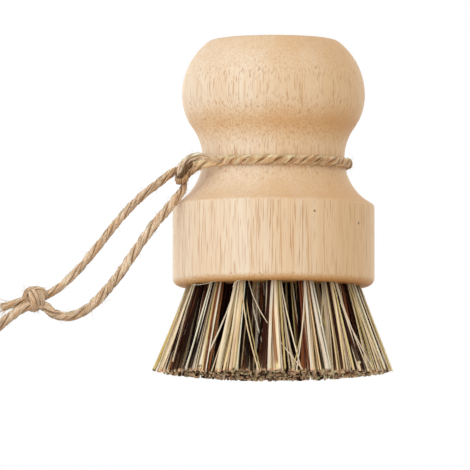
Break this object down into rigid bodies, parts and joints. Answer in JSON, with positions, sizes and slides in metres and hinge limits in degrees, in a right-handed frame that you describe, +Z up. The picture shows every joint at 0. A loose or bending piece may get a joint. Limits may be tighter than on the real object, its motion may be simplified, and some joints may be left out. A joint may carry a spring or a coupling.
{
  "type": "palm brush",
  "caption": "Palm-held scrubbing brush: turned wooden knob handle, splayed tufts of stiff plant fibre and a knotted jute loop for hanging.",
  "frame": {"origin": "on the handle's axis, in the plane that the bristle tips stand on", "axes": "+Z up along the handle's axis from the bristle tips to the knob; the hanging loop lies towards -X"},
  "size_m": [0.1051, 0.056, 0.0792],
  "materials": {
    "wood": "satin, sanded pale wood with fine upright pores",
    "fibre": "dry stiff plant fibre, straw mixed with reddish and dark brown",
    "steel": "flat steel staple wire",
    "twine": "dry laid jute twine with loose hairs"
  },
  "bodies": {
    "brush": {"handle": "wood", "tuft_anchors": "steel", "tuft_01": "fibre", "tuft_02": "fibre", "tuft_03": "fibre", "tuft_04": "fibre", "tuft_05": "fibre", "tuft_06": "fibre", "tuft_07": "fibre", "tuft_08": "fibre", "tuft_09": "fibre", "tuft_10": "fibre", "tuft_11": "fibre", "tuft_12": "fibre", "tuft_13": "fibre", "tuft_14": "fibre", "tuft_15": "fibre", "tuft_16": "fibre", "tuft_17": "fibre", "tuft_18": "fibre", "tuft_19": "fibre", "tuft_20": "fibre", "tuft_21": "fibre", "tuft_22": "fibre", "tuft_23": "fibre", "tuft_24": "fibre", "tuft_25": "fibre", "tuft_26": "fibre", "tuft_27": "fibre", "tuft_28": "fibre", "tuft_29": "fibre", "tuft_30": "fibre", "tuft_31": "fibre", "tuft_32": "fibre"},
    "neck_tie": {"neck_turn": "twine", "neck_knot": "twine"},
    "hang_loop": {"upper_strand": "twine", "lower_strand": "twine", "end_knot": "twine", "short_tail": "twine", "long_tail": "twine"}
  },
  "joints": [
    {"name": "tie_turn", "type": "hinge", "parent": "brush", "child": "neck_tie", "pos_m": [0, 0, 0.0502], "axis": [0, 0, 1], "continuous": true},
    {"name": "loop_lift", "type": "hinge", "parent": "neck_tie", "child": "hang_loop", "pos_m": [-0.02154, -0.00577, 0.0485], "axis": [-0.2588, 0.9659, 0], "range_deg": [0, 120]}
  ]
}
